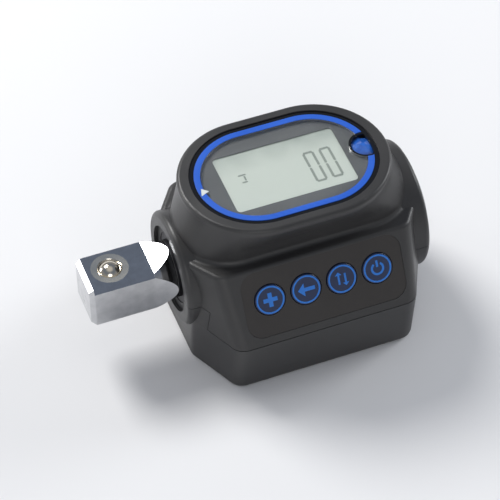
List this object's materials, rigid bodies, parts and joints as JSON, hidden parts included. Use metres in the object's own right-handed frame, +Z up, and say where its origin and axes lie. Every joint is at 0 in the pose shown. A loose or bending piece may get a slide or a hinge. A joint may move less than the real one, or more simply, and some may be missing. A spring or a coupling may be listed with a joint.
{
  "type": "digital torque adapter",
  "caption": "Battery powered torque meter for a ratchet: male square drive, square socket behind, round-ended display head and a leaning keypad.",
  "frame": {"origin": "middle of the foot, under the middle of the whole length", "axes": "+X along the drive axis from the male square to the square socket, +Z up through the display"},
  "size_m": [0.0864, 0.054, 0.047],
  "materials": {
    "drive_chrome": "polished",
    "ball_steel": "polished",
    "bush_steel": "turned",
    "spring_steel": "drawn",
    "bush_black": "matte",
    "seal_rubber": "matte",
    "housing_charcoal": "soft satin",
    "screw_steel": "zinc plated",
    "cell_jacket": "satin",
    "contact_nickel": "nickel plated",
    "frame_black": "gloss",
    "accent_blue": "gloss",
    "lens_tint": "clear",
    "indicator_blue": "clear tinted",
    "marker_white": "gloss",
    "display_grey": "satin glass",
    "light_guide": "frosted",
    "strip_rubber": "matte",
    "board_green": "lacquered",
    "chip_black": "matte",
    "flex_amber": "film",
    "foil_copper": "foil",
    "keypad_black": "satin",
    "button_black": "satin",
    "cover_charcoal": "matte"
  },
  "bodies": {
    "adapter": {"torque_shaft": "drive_chrome", "detent_bush": "bush_steel", "detent_spring": "spring_steel", "locating_pin": "screw_steel", "front_bush": "bush_black", "rear_bush": "bush_black", "front_seal": "seal_rubber", "rear_seal": "seal_rubber", "strain_gauge_left": "foil_copper", "strain_gauge_right": "foil_copper", "gauge_flex": "flex_amber", "upper_housing": "housing_charcoal", "lower_housing": "housing_charcoal", "housing_screws": "screw_steel", "battery_left": "cell_jacket", "battery_right": "cell_jacket", "battery_spring_left": "contact_nickel", "battery_spring_right": "contact_nickel", "battery_plate_left": "contact_nickel", "battery_plate_right": "contact_nickel", "display_frame": "frame_black", "accent_ring": "accent_blue", "display_lens": "lens_tint", "indicator_lens": "indicator_blue", "marker_insert": "marker_white", "lcd_panel": "display_grey", "backlight": "light_guide", "contact_strip_front": "strip_rubber", "contact_strip_rear": "strip_rubber", "main_board": "board_green", "board_screws": "screw_steel", "controller_chip": "chip_black", "indicator_led": "light_guide", "buzzer": "chip_black", "keypad_panel": "keypad_black", "key_board": "board_green", "key_board_screws": "screw_steel", "key_flex": "flex_amber", "dome_switch_plus": "contact_nickel", "dome_switch_back": "contact_nickel", "dome_switch_units": "contact_nickel", "dome_switch_power": "contact_nickel"},
    "detent_ball": {"detent_ball": "ball_steel"},
    "battery_cover": {"battery_cover": "cover_charcoal"},
    "button_plus": {"button_plus": "button_black"},
    "button_back": {"button_back": "button_black"},
    "button_units": {"button_units": "button_black"},
    "button_power": {"button_power": "button_black"}
  },
  "joints": [
    {"name": "detent_press", "type": "slide", "parent": "adapter", "child": "detent_ball", "axis": [0, 0, -1], "range_m": [0, 0.0011], "stiffness_N_per_m": 1200, "deforming": ["detent_spring"]},
    {"name": "button_plus_press", "type": "slide", "parent": "adapter", "child": "button_plus", "axis": [0, 0.866, -0.5], "range_m": [0, 0.0005], "stiffness_N_per_m": 500},
    {"name": "button_back_press", "type": "slide", "parent": "adapter", "child": "button_back", "axis": [0, 0.866, -0.5], "range_m": [0, 0.0005], "stiffness_N_per_m": 500},
    {"name": "button_units_press", "type": "slide", "parent": "adapter", "child": "button_units", "axis": [0, 0.866, -0.5], "range_m": [0, 0.0005], "stiffness_N_per_m": 500},
    {"name": "button_power_press", "type": "slide", "parent": "adapter", "child": "button_power", "axis": [0, 0.866, -0.5], "range_m": [0, 0.0005], "stiffness_N_per_m": 500},
    {"name": "battery_cover_slide", "type": "slide", "parent": "adapter", "child": "battery_cover", "axis": [1, 0, 0], "range_m": [0, 0.058]}
  ]
}
